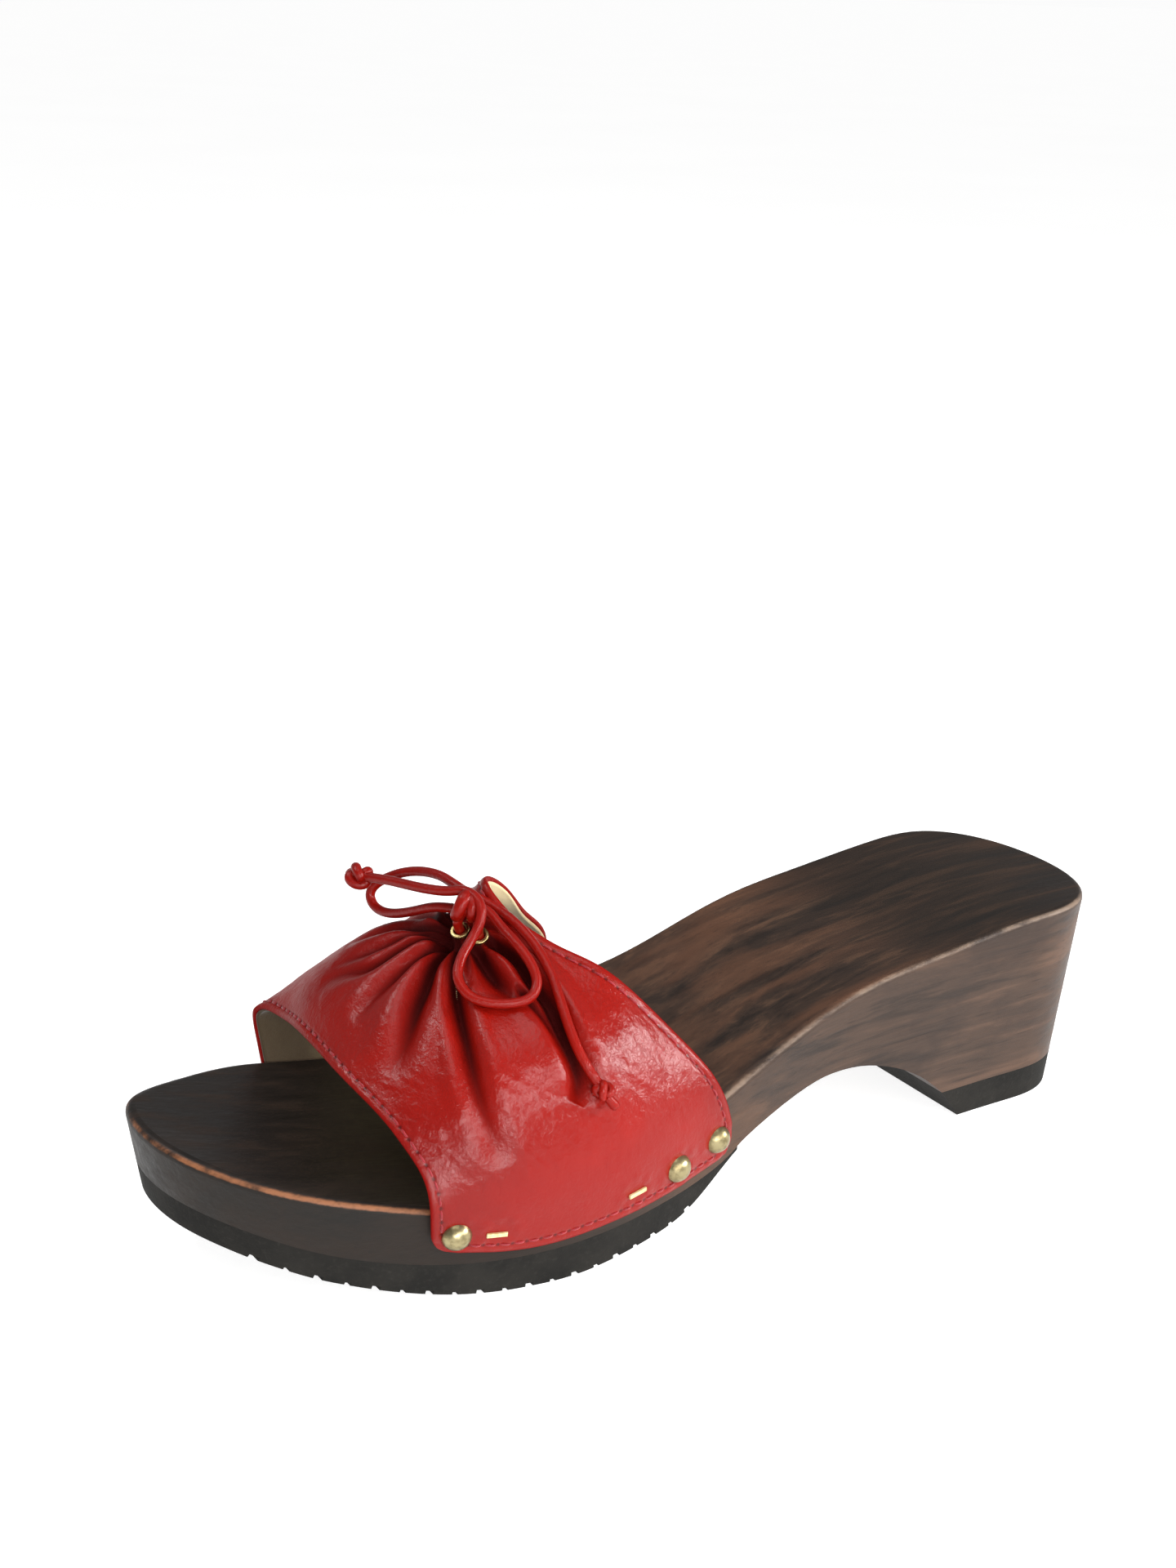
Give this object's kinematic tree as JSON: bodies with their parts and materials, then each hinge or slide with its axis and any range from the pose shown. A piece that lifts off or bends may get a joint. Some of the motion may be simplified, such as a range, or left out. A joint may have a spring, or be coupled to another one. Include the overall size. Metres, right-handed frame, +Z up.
{
  "type": "wooden clog",
  "caption": "Left-foot mule clog: carved wooden sole with block heel, rubber tread, and a red leather vamp gathered by a tied lace and nailed to the sides.",
  "frame": {"origin": "centre of the object's plan box (lace not counted), on the floor under the sole", "axes": "-Y towards the toe, +Y towards the heel, +X to the outer (lateral) side of the left foot, +Z up"},
  "size_m": [0.0939, 0.2498, 0.0789],
  "materials": {
    "stained_wood": "dark stained, satin lacquer, worn copper-brown rim",
    "outsole_rubber": "matt moulded rubber",
    "vamp_leather": "glossy aniline leather with fine creases",
    "lining_suede": "tan split-leather lining, matt",
    "nail_brass": "antique brass, aged",
    "staple_metal": "pale brass-plated wire",
    "eyelet_brass": "polished brass",
    "lace_leather": "round leather lace, semi-gloss",
    "hem_thread": "waxed thread"
  },
  "bodies": {
    "root": {"forefoot_rubber_sole": "outsole_rubber", "heel_rubber_lift": "outsole_rubber", "hem_thread_front": "hem_thread", "hem_thread_lateral": "hem_thread", "hem_thread_medial": "hem_thread", "hem_thread_rear": "hem_thread", "lace_end_knot_lateral": "lace_leather", "lace_end_knot_medial": "lace_leather", "lace_eyelet_lateral": "eyelet_brass", "lace_eyelet_medial": "eyelet_brass", "lace_inner_run": "lace_leather", "lace_lateral": "lace_leather", "lace_medial": "lace_leather", "nail_lateral_front": "nail_brass", "nail_lateral_rear_lower": "nail_brass", "nail_lateral_rear_upper": "nail_brass", "nail_medial_front": "nail_brass", "nail_medial_rear_lower": "nail_brass", "nail_medial_rear_upper": "nail_brass", "staple_lateral_front": "staple_metal", "staple_lateral_rear": "staple_metal", "staple_medial_front": "staple_metal", "staple_medial_rear": "staple_metal", "vamp_lining": "lining_suede", "vamp_outer": "vamp_leather", "wooden_sole": "stained_wood"}
  },
  "joints": []
}
